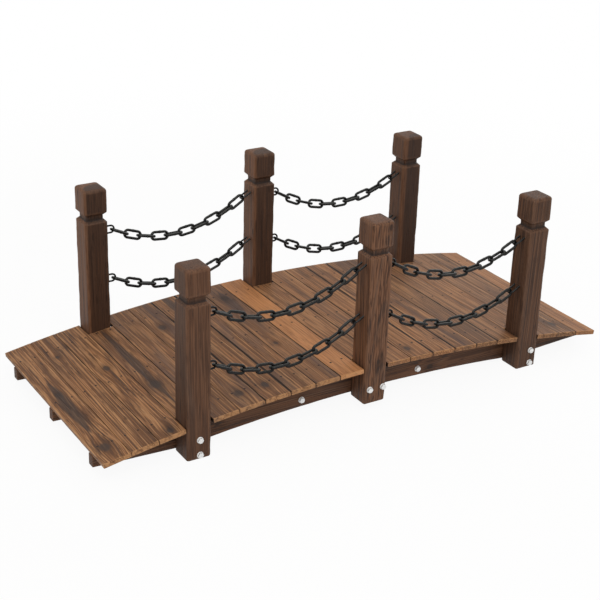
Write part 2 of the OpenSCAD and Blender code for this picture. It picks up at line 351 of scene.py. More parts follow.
def nail_steel():
    """Nail heads: dark steel with brown rust in patches."""
    p = Paint(bpy.data.materials.new("nail_steel"))
    place = p.place()
    rust = p.noise(place, 340.0, 3.0, 0.6).ramp(0.38, 0.62)
    colour = p.mix(rust, shade(26, 21, 19), shade(48, 28, 20))
    bump = p.add("ShaderNodeBump", {}, {"Strength": 0.3, "Distance": 0.0003, "Height": rust})
    values = {"Base Color": colour, "Metallic": 0.2, "Roughness": 0.55 + rust * 0.3, "Normal": bump}
    return p.surface(p.add("ShaderNodeBsdfPrincipled", {}, values))


# Mesh building

def grid_faces(rows, columns, first=0):
    """Quads between neighbouring rows of a grid whose last column joins its first."""
    r, c = np.meshgrid(np.arange(rows - 1), np.arange(columns), indexing="ij")
    e = (c + 1) % columns
    corners = [r * columns + c, r * columns + e, (r + 1) * columns + e, (r + 1) * columns + c]
    return np.stack(corners, -1).reshape(-1, 4) + first


def strip_cap(columns, first):
    """Quads that close a ring of an even number of points, each between a point and its opposite."""
    k = np.arange(columns // 2 - 1)
    return np.stack([k, k + 1, columns - 2 - k, columns - 1 - k], -1) + first


def make_piece(name, points, faces, material, slot=None, node=None, sharp=35.0, **attributes):
    """Puts points, faces and attributes into a mesh, turns its faces outwards, and hangs it on the part."""
    mesh = bpy.data.meshes.new(name)
    mesh.from_pydata(points.reshape(-1, 3).tolist(), [], [f for group in faces for f in group.tolist()])
    for key, values in attributes.items():
        kind, field = ("FLOAT_VECTOR", "vector") if values.ndim > 1 else ("FLOAT", "value")
        layer = mesh.attributes.new(key, kind, "POINT")
        layer.data.foreach_set(field, values.astype(np.float32).ravel())
    work = bmesh.new()
    work.from_mesh(mesh)
    bmesh.ops.recalc_face_normals(work, faces=work.faces)
    work.to_mesh(mesh)
    work.free()
    mesh.polygons.foreach_set("use_smooth", np.ones(len(mesh.polygons), bool))
    mesh.set_sharp_from_angle(angle=math.radians(sharp))
    mesh.materials.append(material)
    obj = bpy.data.objects.new(name, mesh)
    bpy.context.scene.collection.objects.link(obj)
    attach(obj, "root")
    if node:
        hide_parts(node)


def slow_wave(along, step):
    """A random wave: values drawn every step metres, joined by smooth steps."""
    t = (along - along.min()) / step
    k = np.floor(t).astype(int)
    f = (t - k) * (t - k) * (3 - 2 * (t - k))
    drawn = rng.uniform(-1, 1, k.max() + 2)
    return drawn[k] * (1 - f) + drawn[k + 1] * f


CORNER_POINTS = 5
EDGE_MARGIN = 0.003
ROW_STEP = 0.008
# Along an edge its rounding, and the painted shade of a joint, swing by waves of these lengths.
LONG_WAVE, SHORT_WAVE, PAINTED_SHADE_WAVE = 0.03, 0.011, 0.08
ROUND_LIMITS = (0.35, 1.9)
# The edge value at a joint's rim, wear above 0 and painted shade below: its middle and swing, and how
# far it goes down with more painted shade.
RIM_MIDDLE, RIM_SWING, PAINTED_SHADE_REACH = -0.05, 0.6, 0.6
# How far up its tree a piece may have been cut.
STEM_LENGTH = 40
# A flame and a knot so far away that they do not show.
NO_FLAME = (9.0, 9.0, 1.0, 1.0)
NO_KNOT = (9.0, 9.0, 0.01)


def rounded_sections(half_a, half_b, radius, rim=None, depth=None):
    """Rectangles with rounded corners, a row each, anticlockwise from the right side's upper end.

    Corner k is a quarter circle of radius[row, k] that touches both sides, with one point more on each
    side, a margin away, where the wear of the edge has faded out. Returns a, b and the edge values: wear
    above 0 and painted shade below. Where a corner has a rim, the left or right side beside it is in a
    joint: the value there is painted shade, less than 0 by the depth, and goes up with the square of the
    way round the corner to the rim's. Without a rim it is NaN.
    """
    begin = np.arange(4) * math.pi / 2
    turn = begin[:, None] + np.linspace(0, math.pi / 2, CORNER_POINTS)
    centre_a = np.array([1, -1, -1, 1]) * (half_a[:, None] - radius)
    centre_b = np.array([1, 1, -1, -1]) * (half_b[:, None] - radius)
    a = centre_a[:, :, None] + radius[:, :, None] * np.cos(turn)
    b = centre_b[:, :, None] + radius[:, :, None] * np.sin(turn)
    step_a, step_b = -EDGE_MARGIN * np.sin(turn), EDGE_MARGIN * np.cos(turn)
    a = np.concatenate([a[:, :, :1] - step_a[:, :1], a, a[:, :, -1:] + step_a[:, -1:]], 2)
    b = np.concatenate([b[:, :, :1] - step_b[:, :1], b, b[:, :, -1:] + step_b[:, -1:]], 2)
    worn = np.ones(a.shape)
    worn[:, :, [0, -1]] = 0
    rows = len(a)
    if rim is not None:
        climb = (rim + depth)[:, :, None] * np.linspace(0, 1, CORNER_POINTS) ** 2 - depth[:, None]
        joint = np.concatenate([climb[:, :, :1], climb, np.zeros((rows, 4, 1))], 2)
        joint[:, 1::2] = joint[:, 1::2, ::-1]
        worn = np.where(np.isnan(joint).any(2, keepdims=True), worn, joint)
    return a.reshape(rows, -1), b.reshape(rows, -1), worn.reshape(rows, -1)


def row_places(start, end, ease, step, extra=()):
    """Rows along a piece: close together where its ends are rounded, then every step metres."""
    bend = 1 - np.cos(np.linspace(0, math.pi / 2, CORNER_POINTS))
    middle = np.linspace(start + ease[0] + EDGE_MARGIN, end - ease[1] - EDGE_MARGIN,
                         max(2, round((end - start) / step)))
    rows = np.concatenate([start + ease[0] * bend, middle, end - ease[1] * bend, extra])
    return np.unique(np.round(rows, 7))


def eased_corners(points, ease, steps=4):
    """Replaces each inner corner of a line by a parabola that starts and ends an ease away from it."""
    before, corner, after = points[:-2], points[1:-1], points[2:]
    t = np.linspace(0, 1, steps)[None, :, None]
    to_before = (before - corner) / np.linalg.norm(before - corner, axis=1, keepdims=True)
    to_after = (after - corner) / np.linalg.norm(after - corner, axis=1, keepdims=True)
    first, last = (corner + ease * to_before)[:, None], (corner + ease * to_after)[:, None]
    curve = (1 - t) ** 2 * first + 2 * t * (1 - t) * corner[:, None] + t * t * last
    return np.concatenate([points[:1], curve.reshape(-1, 2), points[-1:]])


def timber(name, node, material, slot, along, half_a, half_b, corner, ease, axes, origin, middle_b=0.0,
           pith=(0.0, -0.05), lean=(0.0, 0.0), look=(0.5, 0.2, 0.0), bold=1.0, knots=(), knot_side="a",
           flame=NO_FLAME, wear=0.4, row_wear_and_shade=0.0, end_wear=0.0, joints=None):
    """A sawn piece of wood: a rounded rectangle carried along a straight line.

    The half sides may change along the line. Near each end the section shrinks by a quarter circle of
    the ease. The corner's radius swings by the share wear. Each point's place in its tree is its
    place across the piece less that of the pith, which leans by a slope along it. Rows are worn where
    row_wear_and_shade is above 0 and painted in shade where it is below, and the two ends are worn by
    end_wear.
    Joints says how much painted shade the joints beside the left and the right side get: 0 is none, 1 is
    usual, and with more the painted shade reaches over the edge. A knot is its place across and along
    the piece and its size, on the faces that knot_side names. A flame is its middle, across and along,
    and its half width and half length.
    """
    along = np.asarray(along, float)
    rows = len(along)
    spread = np.zeros(rows)
    near_end = np.zeros(rows)
    for away, radius in ((along - along[0], ease[0]), (along[-1] - along, ease[1])):
        short = np.clip(radius - away, 0, radius)
        spread += radius - np.sqrt(radius * radius - short * short)
        near_end = np.maximum(near_end, away <= radius + 1e-6)
    near_end[[0, -1]] = 0
    waves = np.stack(
        [slow_wave(along, LONG_WAVE) + 0.5 * slow_wave(along, SHORT_WAVE) for _ in range(4)], 1)
    half_a, half_b = half_a - spread + 0 * along, half_b - spread + 0 * along
    rim, depth = None, None
    if joints is not None:
        # Painted shade on the sides beside a joint, reaching over the rim where there is more of it.
        joint_painted_shade = np.array(joints)[[1, 0, 0, 1]]
        rim = np.stack([RIM_SWING * slow_wave(along, PAINTED_SHADE_WAVE) + RIM_MIDDLE for _ in range(4)], 1)
        rim = np.where(joint_painted_shade > 0, rim + PAINTED_SHADE_REACH * (1 - joint_painted_shade), np.nan)
        depth = np.minimum(joint_painted_shade, 1)
    radius = corner * np.clip(1 + wear * waves, *ROUND_LIMITS)
    a, b, worn = rounded_sections(half_a, half_b, radius, rim, depth)
    row_wear_and_shade = np.reshape(row_wear_and_shade + 0 * along, (-1, 1))
    worn = np.where(worn < 0, worn, np.maximum(worn, np.maximum(near_end[:, None], row_wear_and_shade)))
    worn = np.where(row_wear_and_shade < 0, row_wear_and_shade, worn)
    worn[[0, -1]] = end_wear
    b = b + np.reshape(middle_b + 0 * along, (-1, 1))
    s = np.repeat(along[:, None], a.shape[1], 1)
    local = np.stack([a, b, s], -1).reshape(-1, 3)
    columns = a.shape[1]
    faces = [grid_faces(rows, columns), strip_cap(columns, 0), strip_cap(columns, (rows - 1) * columns)]
    shift = rng.uniform(0, STEM_LENGTH)
    place = np.stack([local[:, 0] - pith[0] - lean[0] * local[:, 2],
                      local[:, 1] - pith[1] - lean[1] * local[:, 2], local[:, 2] + shift], 1)
    side = local[:, 0] if knot_side == "a" else local[:, 1]
    spots = [*knots, NO_KNOT, NO_KNOT]
    fields = {
        key: np.stack([side - spot[0], local[:, 2] - spot[1], np.full(len(side), spot[2])], 1)
        for key, spot in zip(("knot_a", "knot_b"), spots)
    }
    leaf = np.stack([(local[:, 0] - flame[0]) / flame[2], (local[:, 2] - flame[1]) / flame[3],
                     np.full(len(local), bold)], 1)
    make_piece(
        name, np.asarray(origin) + local @ np.asarray(axes, float), faces, material, slot, node,
        grain=place, look=np.tile(look, (len(local), 1)), leaf=leaf, edge=worn.ravel(), **fields)


# The pieces of wood

deck_wood = stained_wood(
    "deck_wood", dark=shade(90, 62, 42), light=shade(188, 128, 81), late=shade(44, 26, 17),
    heart_shade=shade(58, 46, 40), grey_shade=shade(90, 72, 65), worn=shade(200, 150, 103),
    ring=0.0056, lines=270.0, rings_show=0.42, lines_show=0.38, wear_shows=0.6)
frame_wood = stained_wood(
    "frame_wood", dark=shade(67, 43, 28), light=shade(138, 92, 62), late=shade(30, 17, 11),
    heart_shade=shade(46, 31, 23), grey_shade=shade(76, 62, 54), worn=shade(122, 88, 66),
    ring=0.0080, lines=360.0, rings_show=0.70, lines_show=0.50, wear_shows=0.3)

# Tone from dark brown to light orange, and greyness, of each kind of plank.
PLANK_KINDS = {
    "warm": (0.35, 0.0), "brown": (0.40, 0.20), "dark": (0.32, 0.35), "grey": (0.36, 0.85),
    "fair": (0.38, 0.15), "orange": (0.95, 0.0), "rosy": (0.53, 0.62), "pale": (0.60, 0.30),
    "dull": (0.28, 0.35), "deep": (0.14, 0.45), "mottled": (0.70, 0.58),
}
DECK_KINDS = (
    "warm warm warm dark grey grey brown grey grey orange fair "
    "rosy rosy mottled grey deep dull fair dull deep pale"
).split()
# Knots by plank: place across and along the plank, and size.
DECK_KNOTS = {
    1: [(-0.004, 0.028, 0.007), (-0.004, -0.258, 0.015)],
    2: [(-0.006, 0.20, 0.006)],
    3: [(0.002, 0.062, 0.010), (0.004, -0.298, 0.010)],
    4: [(-0.004, -0.088, 0.017)],
    6: [(-0.004, 0.165, 0.012), (0.0, -0.252, 0.014)],
    7: [(0.0, -0.254, 0.011)],
    9: [(0.004, 0.225, 0.013), (-0.010, -0.080, 0.007)],
    13: [(-0.012, -0.27, 0.009)],
    15: [(0.010, 0.10, 0.009)],
    20: [(0.0, -0.26, 0.012)],
}
# Flames of heartwood by plank: middle across and along the plank, half width and half length.
DECK_FLAMES = {
    1: (-0.004, -0.040, 0.017, 0.150),
    4: (-0.002, 0.030, 0.013, 0.250),
    7: (0.004, 0.270, 0.012, 0.110),
    9: (0.006, 0.190, 0.016, 0.090),
}
# How boldly the grain of a plank shows, where it is not as usual.
BOLDNESS = {1: 1.25, 2: 1.3, 3: 1.3, 10: 0.45, 11: 0.8, 21: 0.7}
# How much painted shade the joints get, from the left end of the deck to the right, with none at either
# end.
JOINT_PAINTED_SHADE = (
    0, 0.1, 0.6, 0.8, 1.1, 0.5, 2.3, 3, 0.9, 1.3, 1.1, 1.7, 1.3, 3, 3, 1.3, 2.4, 0.2, 0.6, 0.4, 2, 0)
# How worn the planks' ends are, left of the middle of the deck and right of it.
END_WEAR = (0.75, 0.35)
plank_frames = []
for i in range(PLANKS):
    angle = (i - (PLANKS - 1) / 2) * DECK_STEP
    across = np.array([math.cos(angle), 0, -math.sin(angle)])
    up = np.array([math.sin(angle), 0, math.cos(angle)])
    origin = np.array([0, 0, ARC_CENTRE]) + (deck_radius + PLANK_THICKNESS / 2) * up
    plank_frames.append((across, up, origin))
    short = abs(i - (PLANKS - 1) // 2) in (0, BAY_PLANKS)
    reach = PLANK_LENGTH / 2 - (POST_SIDE + BUTT_GAP if short else 0)
    tone, grey = PLANK_KINDS[DECK_KINDS[i]]
    tone += rng.uniform(-0.05, 0.05)
    pith = (rng.choice([-1, 1]) * rng.uniform(0.03, 0.10), rng.uniform(-0.06, -0.015))
    lean = (rng.uniform(-0.015, 0.015), rng.uniform(-0.03, 0.03))
    bold = BOLDNESS.get(i + 1, 1.0) * rng.uniform(0.8, 1.1)
    timber(
        f"plank_{i + 1:02d}_board", f"plank_{i + 1}", deck_wood, "deck_wood",
        row_places(-reach, reach, PLANK_EASE, ROW_STEP), PLANK_WIDTH / 2 + SWELLING, PLANK_THICKNESS / 2,
        PLANK_ROUND, PLANK_EASE, (across, up, (0, 1, 0)), origin, pith=pith, lean=lean,
        look=(tone, grey, 0.0), bold=bold, knots=DECK_KNOTS.get(i + 1, ()),
        flame=DECK_FLAMES.get(i + 1, NO_FLAME), end_wear=END_WEAR[i > PLANKS // 2],
        joints=JOINT_PAINTED_SHADE[i:i + 2])

# Half side of a post by height: full, in to the groove, out to the cap.
groove_top = POST_LENGTH - CAP_HEIGHT
groove_foot = groove_top - GROOVE_HEIGHT
full, slim = POST_SIDE / 2, POST_SIDE / 2 - GROOVE_DEPTH
post_line = eased_corners(np.array([
    (0, full), (groove_foot, full), (groove_foot + GROOVE_DEPTH, slim),
    (groove_top - GROOVE_DEPTH, slim), (groove_top, full), (POST_LENGTH, full)]), GROOVE_EASE)
post_ease = (POST_FOOT_ROUND, POST_TOP_ROUND)
post_rows = row_places(0, POST_LENGTH, post_ease, ROW_STEP, post_line[1:-1, 0])
post_half = np.interp(post_rows, post_line[:, 0], post_line[:, 1])
# Wear on the groove's lips, which fades out by this reach.
LIP_REACH = 0.0022
post_wear_and_shade = np.exp(-((np.abs(post_rows[:, None] - [groove_foot, groove_top]).min(1)) / LIP_REACH) ** 2)
# Painted shade in the groove, where the cap shades the neck: darkest at the neck's foot and less towards
# its head.
NECK_MARGIN = 0.0013
NECK_FOOT_SHADE, NECK_SHADE_FADE = -0.72, 0.55
neck_foot = groove_foot + GROOVE_DEPTH - NECK_MARGIN
neck_share = (post_rows - neck_foot) / (groove_top - GROOVE_DEPTH + NECK_MARGIN - neck_foot)
# The groove's rows get painted shade, below 0, in place of the lips' wear.
post_wear_and_shade = np.where(np.abs(neck_share - 0.5) <= 0.5, NECK_FOOT_SHADE + NECK_SHADE_FADE * neck_share, post_wear_and_shade)
MIDDLE_KNOTS = ((0.021, 0.478, 0.0065), (0.006, 0.115, 0.006))
# Tone, greyness, heart's radius, boldness of the rings, pith, lean of the pith and knots of each post.
POST_LOOKS = {
    "near_left": (0.20, 0.5, 0.014, 0.5, (-0.080, -0.050), 0.0, ()),
    "near_middle": (0.55, 0.1, 0.008, 1.1, (0.012, 0.034), 0.05, MIDDLE_KNOTS),
    "near_right": (0.10, 0.3, 0.030, 0.7, (-0.070, 0.040), 0.0, ()),
    "far_left": (0.58, 0.05, 0.040, 0.8, (0.016, -0.034), 0.0, ()),
    "far_middle": (0.58, 0.05, 0.040, 0.8, (0.016, -0.034), 0.0, ()),
    "far_right": (0.30, 0.3, 0.038, 0.6, (0.018, -0.034), 0.0, ()),
}
for side, y in (("near", -POST_Y), ("far", POST_Y)):
    for k, spot in enumerate(("left", "middle", "right")):
        tone, grey, heart, bold, pith, slope, knots = POST_LOOKS[f"{side}_{spot}"]
        lean = rng.uniform(-0.02, 0.02, 2) + np.array([0.0, slope])
        foot = MIDDLE_LIFT if spot == "middle" else 0.0
        timber(
            f"post_{side}_{spot}_timber", f"post_{side}_{spot}", frame_wood, "frame_wood", post_rows,
            post_half, post_half, POST_ROUND, post_ease, ((1, 0, 0), (0, 1, 0), (0, 0, 1)),
            ((k - 1) * POST_X, y, foot), pith=pith, lean=lean,
            look=(tone, grey, heart), bold=bold, knots=knots, wear=0.3, row_wear_and_shade=post_wear_and_shade)

# Half stringers: under the deck's arc, above the arch, with tips that rise towards the ends.
BEAM_AXES = ((0, 1, 0), (0, 0, 1), (1, 0, 0))
tip = DECK_HALF - TIP_SETBACK
stringer_rows = row_places(-tip, -HALF_GAP / 2, BEAM_EASE, ROW_STEP)
stringer_top = ARC_CENTRE + np.sqrt(deck_radius ** 2 - stringer_rows ** 2)
arch = STRINGER_CLEAR + ARCH_RISE - ARCH_RADIUS + np.sqrt(ARCH_RADIUS ** 2 - stringer_rows ** 2)
outer_face = POST_X + POST_SIDE / 2
rise = TIP_RISE * (-stringer_rows - outer_face) / (tip + TIP_OVERRUN - outer_face)
stringer_foot = np.maximum(np.maximum(arch, STRINGER_CLEAR), STRINGER_CLEAR + rise)
for row, y in (("near", -STRINGER_Y), ("middle", 0.0), ("far", STRINGER_Y)):
    for half, flip in (("left", 1), ("right", -1)):
        order = slice(None, None, flip)
        timber(
            f"stringer_{row}_{half}_beam", f"stringer_{row}_{half}", frame_wood, "frame_wood",
            (flip * stringer_rows)[order], STRINGER_THICKNESS / 2,
            ((stringer_top - stringer_foot) / 2)[order], BEAM_ROUND, BEAM_EASE, BEAM_AXES, (0, y, 0),
            middle_b=((stringer_top + stringer_foot) / 2)[order], pith=(rng.uniform(0.03, 0.06), 0.05),
            lean=(0.0, rng.uniform(-0.03, 0.03)), look=(0.34, 0.3, 0.014), bold=0.9,
            knots=((rng.uniform(0.04, 0.08), -flip * rng.uniform(0.2, 0.5), 0.009),), knot_side="b")

# Splice boards: beside the joint in the middle of each stringer.
splice_middle = (ARC_CENTRE + deck_radius + STRINGER_CLEAR + ARCH_RISE) / 2
SPLICE_ROW_STEP = 0.01
splice_rows = row_places(-SPLICE_LENGTH / 2, SPLICE_LENGTH / 2, BEAM_EASE, SPLICE_ROW_STEP)
for row, y, inward in (("near", -STRINGER_Y, 1), ("middle", 0.0, 1), ("far", STRINGER_Y, -1)):
    timber(
        f"splice_{row}_board", f"splice_{row}", frame_wood, "frame_wood", splice_rows,
        STRINGER_THICKNESS / 2, SPLICE_DEPTH / 2, BEAM_ROUND, BEAM_EASE, BEAM_AXES,
        (0, y + inward * STRINGER_THICKNESS, splice_middle),
        pith=(rng.uniform(0.03, 0.06), 0.01), look=(0.40, 0.2, 0.010), bold=0.9)


# The chains

black_steel = black_paint()
WIRE_POINTS = 14
wire_turn = np.linspace(0, 2 * math.pi, WIRE_POINTS, endpoint=False)
BEND_ROWS = 13
half_turn = np.linspace(-math.pi / 2, math.pi / 2, BEND_ROWS)
# The weld in a link's side: its rows, how far they reach from the middle as a share of the side, the
# weld's length, and its swelling as a share of the wire.
WELD_ROWS, WELD_SHARE, WELD_LENGTH, WELD_SWELL = 11, 0.45, 0.0024, 0.16
LEG_ROWS = 3
# Turns of the correction that finds how a chain hangs, and the step in slope that it starts from.
HANG_TURNS = 12
FIRST_SLOPE_STEP = 0.12


def bent_wire(middle, turn, bend, radius):
    """A round wire bent in xz: circles of the given radii round the points of a path.

    The path lies the distance bend from points of the x axis, in the directions turn. Each circle lies in
    the plane of its direction and y.
    """
    outward = np.stack([np.cos(turn), 0 * turn, np.sin(turn)], 1)
    path = np.stack([middle, 0 * middle, 0 * middle], 1) + bend * outward
    sideways = np.array([0.0, 1.0, 0.0])
    ring = np.cos(wire_turn)[:, None] * outward[:, None] + np.sin(wire_turn)[:, None] * sideways
    return path[:, None] + radius[:, None, None] * ring


def link_wire():
    """One link round the origin, long in x and flat in xz, as rows of circles round a closed path.

    The path is two half circles joined by straight sides. The wire swells where one side is welded.
    """
    straight = LINK_INSIDE + LINK_WIRE - 2 * LINK_BEND
    weld = np.linspace(WELD_SHARE, -WELD_SHARE, WELD_ROWS) * straight
    turn = np.concatenate([half_turn, np.full(WELD_ROWS, math.pi / 2), half_turn + math.pi])
    middle = np.concatenate([np.full(BEND_ROWS, straight / 2), weld, np.full(BEND_ROWS, -straight / 2)])
    plain = np.zeros(BEND_ROWS)
    swell = np.concatenate([plain, np.exp(-(weld / WELD_LENGTH) ** 2), plain])
    return bent_wire(middle, turn, LINK_BEND, LINK_WIRE / 2 * (1 + WELD_SWELL * swell))


def staple_wire():
    """One staple, its bow round the origin and its legs along -x, in xz: a half circle and two lines."""
    legs = -np.array([BOW_OUT + STAPLE_DEPTH, BOW_OUT, 0.5 * BOW_OUT])
    leg_turn = np.full(LEG_ROWS, math.pi / 2)
    turn = np.concatenate([-leg_turn, half_turn, leg_turn])
    middle = np.concatenate([legs, np.zeros(BEND_ROWS), legs[::-1]])
    return bent_wire(middle, turn, STAPLE_BEND, np.full(len(turn), STAPLE_WIRE / 2))


def topside(points):
    """How far each point of a wire faces up: its height over the middle of its circle, by the radius."""
    away = points - points.mean(1, keepdims=True)
    return (away[..., 2] / np.linalg.norm(away, axis=-1)).ravel()


def turned(points, roll, pitch, move):
    """Points rolled about x, then tilted up by pitch in xz, then moved."""
    c, s = math.cos(roll), math.sin(roll)
    rolled = points @ np.array([[1, 0, 0], [0, c, s], [0, -s, c]], float)
    c, s = math.cos(pitch), math.sin(pitch)
    return rolled @ np.array([[c, 0, s], [0, 1, 0], [-s, 0, c]], float) + np.asarray(move)


def hang(span, lengths):
    """Slopes of the links of a hanging chain: they go up by equal steps, and repeated correction finds the
    middle slope and the step with which the links together cover the span."""
    place = np.arange(len(lengths)) - (len(lengths) - 1) / 2
    fit = np.array([span[1] / span[0], FIRST_SLOPE_STEP])
    for _ in range(HANG_TURNS):
        t = fit[0] + fit[1] * place
        size = np.sqrt(1 + t * t)
        miss = np.array([(lengths / size).sum(), (lengths * t / size).sum()]) - span
        q = lengths / size ** 3
        slopes = np.array([[-(q * t).sum(), -(q * t * place).sum()], [q.sum(), (q * place).sum()]])
        fit = fit - np.linalg.solve(slopes, miss)
    return fit[0] + fit[1] * place


# Steps along the chain, a link each: the first starts in the middle of a staple's bow, and the last ends
# at the sloping staple's wire. The leads go from the start of each step to the middle of its link.
bow_step = (STAPLE_BEND - (STAPLE_WIRE + LINK_WIRE) / 2 - LINK_CLEAR
            + (LINK_INSIDE + LINK_WIRE) / 2 + LINK_STEP / 2)
wire_step = (LINK_INSIDE - STAPLE_WIRE) / 2 - LINK_CLEAR + LINK_STEP / 2
link_lengths = np.array([bow_step] + [LINK_STEP] * (LINKS - 2) + [wire_step])
leads = np.array([bow_step - LINK_STEP / 2] + [LINK_STEP / 2] * (LINKS - 1))
# The links roll more and more from an upright start, and back to the sloping staple's roll.
link_twist = 2 / 3 * math.asin(1 - (LINK_WIRE + LINK_CLEAR) / LINK_BEND)
link_number = np.arange(LINKS)
roll_in = link_twist * (link_number + 1)
roll_out = STAPLE_ROLL + link_twist * (LINKS - 1 - link_number)
link_rolls = np.minimum(CHAIN_ROLL, np.minimum(roll_in, roll_out))
one_link, one_staple = link_wire(), staple_wire()
link_faces = grid_faces(one_link.shape[0] + 1, WIRE_POINTS) % (one_link.shape[0] * WIRE_POINTS)
staple_rows = one_staple.shape[0]
staple_faces = np.concatenate([
    grid_faces(staple_rows, WIRE_POINTS), strip_cap(WIRE_POINTS, 0),
    strip_cap(WIRE_POINTS, (staple_rows - 1) * WIRE_POINTS)])
slanted = np.array([math.cos(STAPLE_SLANT), math.sin(STAPLE_SLANT)])
for side, y in (("near", -POST_Y), ("far", POST_Y)):
    for bay, half in enumerate(("left", "right")):
        for level, drop in (("upper", UPPER_DROP), ("lower", LOWER_DROP)):
            feet = [0.0, MIDDLE_LIFT, 0.0][bay:bay + 2]
            start = np.array([(bay - 1) * POST_X + POST_SIDE / 2 + BOW_OUT, feet[0] + POST_LENGTH - drop])
            root = np.array([bay * POST_X - POST_SIDE / 2, feet[1] + POST_LENGTH - drop + SLANT_LIFT])
            slopes = hang(root - (BOW_OUT + STAPLE_BEND) * slanted - start, link_lengths)
            ways = np.stack([np.ones(LINKS), slopes], 1) / np.sqrt(1 + slopes ** 2)[:, None]
            begins = start + np.concatenate([[[0, 0]], np.cumsum(link_lengths[:, None] * ways, 0)[:-1]])
            middles = begins + leads[:, None] * ways
            sway = rng.uniform(-LINK_SWAY, LINK_SWAY, LINKS) - link_rolls
            links = [
                turned(one_link, math.pi / 2 * ((i + 1) % 2) + sway[i], math.atan(slopes[i]),
                       (middles[i, 0], y, middles[i, 1])) for i in range(LINKS)]
            bow = root - BOW_OUT * slanted
            staples = [
                turned(one_staple, 0.0, 0.0, (start[0], y, start[1])),
                turned(one_staple, math.pi / 2 + STAPLE_ROLL, math.pi + STAPLE_SLANT, (bow[0], y, bow[1]))]
            points = np.concatenate([p.reshape(-1, 3) for p in links + staples])
            faces = [link_faces + i * one_link.size // 3 for i in range(LINKS)]
            faces += [staple_faces + LINKS * one_link.size // 3 + i * one_staple.size // 3 for i in (0, 1)]
            # How far each point of a link faces up, for the painted highlight on its upper side; the
            # staples get none.
            highlight_facing = np.concatenate([topside(p) for p in links] + [0 * topside(p) for p in staples])
            make_piece(f"chain_{side}_{half}_{level}_links", points, faces, black_steel, "black_steel",
                       f"chain_{side}_{half}_{level}", sharp=60.0, top=highlight_facing)


# Bolts, nuts and nails

zinc = zinc_plate()
rust = nail_steel()


def stacked_rings(radii, heights, places, outward):
    """Turned parts, one at each place: a stack of rings, closed flat at both ends.

    Ring k has the radii and heights of row k, by the angle round the axis outward. Returns points and
    faces for make_piece.
    """
    rows, columns = radii.shape
    angle = np.linspace(0, 2 * math.pi, columns, endpoint=False)
    axis = np.asarray(outward, float)
    side = np.cross(axis, [0.0, 0.0, 1.0]) if abs(axis[2]) < 0.9 else np.array([1.0, 0.0, 0.0])
    side = side / np.linalg.norm(side)
    up = np.cross(axis, side)
    one = (radii[..., None] * (np.cos(angle)[:, None] * side + np.sin(angle)[:, None] * up)
           + heights[..., None] * axis).reshape(-1, 3)
    points = (np.asarray(places)[:, None] + one).reshape(-1, 3)
    base = [grid_faces(rows, columns), strip_cap(columns, 0), strip_cap(columns, (rows - 1) * columns)]
    faces = [f + k * len(one) for k in range(len(places)) for f in base]
    return points, faces


# Sizes of the bolts, in metres.
HEX_POINTS = 24
HEX_FLATS = 0.013
HEAD_HEIGHT = 0.0053
NUT_HEIGHT = 0.0065
WASHER_RADIUS = 0.0085
WASHER_TOP_RADIUS = 0.0082
WASHER_SIDE = 0.0012
WASHER_THICKNESS = 0.0016
STUD_RADIUS = 0.004
STUD_TIP_RADIUS = 0.0032
STUD_OUT = 0.004
STUD_TIP_OUT = 0.0048
HEX_TOP_SHARE = 0.95
CONE_SLOPE = math.tan(math.radians(30))
hex_angle = np.linspace(0, 2 * math.pi, HEX_POINTS, endpoint=False)
hex_radius = HEX_FLATS / 2 / np.cos(np.mod(hex_angle, math.pi / 3) - math.pi / 6)
round_one = np.ones(HEX_POINTS)
hex_top = HEX_TOP_SHARE * HEX_FLATS / 2


def hex_rings(height, stud):
    """A washer under a hexagon whose corners are cut by a cone of 30 degrees, and a stud's end if any."""
    top = WASHER_THICKNESS + height
    cone = top - CONE_SLOPE * (hex_radius - hex_top)
    rings = [
        (WASHER_RADIUS, 0.0), (WASHER_RADIUS, WASHER_SIDE), (WASHER_TOP_RADIUS, WASHER_THICKNESS),
        (hex_radius, WASHER_THICKNESS), (hex_radius, cone), (hex_top, top)]
    if stud:
        rings += [(STUD_RADIUS, top), (STUD_RADIUS, top + STUD_OUT), (STUD_TIP_RADIUS, top + STUD_TIP_OUT)]
    radii, heights = (np.stack([value * round_one for value in part]) for part in zip(*rings))
    return radii, heights


# Bolt places on the near side, x and z: in the posts, and in the stringer between them.
POST_BOLTS = [(-0.5025, 0.052), (-0.5025, 0.0115), (-0.0165, 0.063), (0.0238, 0.063),
              (0.5165, 0.050), (0.5165, 0.0125)]
BEAM_BOLTS = [(-0.181, 0.046), (0.181, 0.046)]
for side, sign in (("near", -1.0), ("far", 1.0)):
    heads = [(x, sign * PLANK_LENGTH / 2, z) for x, z in POST_BOLTS]
    heads += [(x, sign * (PLANK_LENGTH / 2 - POST_SIDE), z) for x, z in BEAM_BOLTS]
    inner = PLANK_LENGTH / 2 - POST_SIDE - STRINGER_THICKNESS
    nuts = [(x, sign * (inner - (STRINGER_THICKNESS if abs(x) < SPLICE_LENGTH / 2 else 0)), z)
            for x, z in POST_BOLTS + BEAM_BOLTS]
    points, faces = stacked_rings(*hex_rings(HEAD_HEIGHT, False), heads, (0, sign, 0))
    make_piece(f"bolt_heads_{side}", points, faces, zinc, sharp=20.0)
    points, faces = stacked_rings(*hex_rings(NUT_HEIGHT, True), nuts, (0, -sign, 0))
    make_piece(f"bolt_nuts_{side}", points, faces, zinc, sharp=20.0)

# Nails: two in each plank over each stringer, each a little astray across and along the plank.
NAIL_POINTS = 10
NAIL_ASIDE = 0.0185
STRAY_ACROSS, STRAY_ALONG = 0.003, 0.004
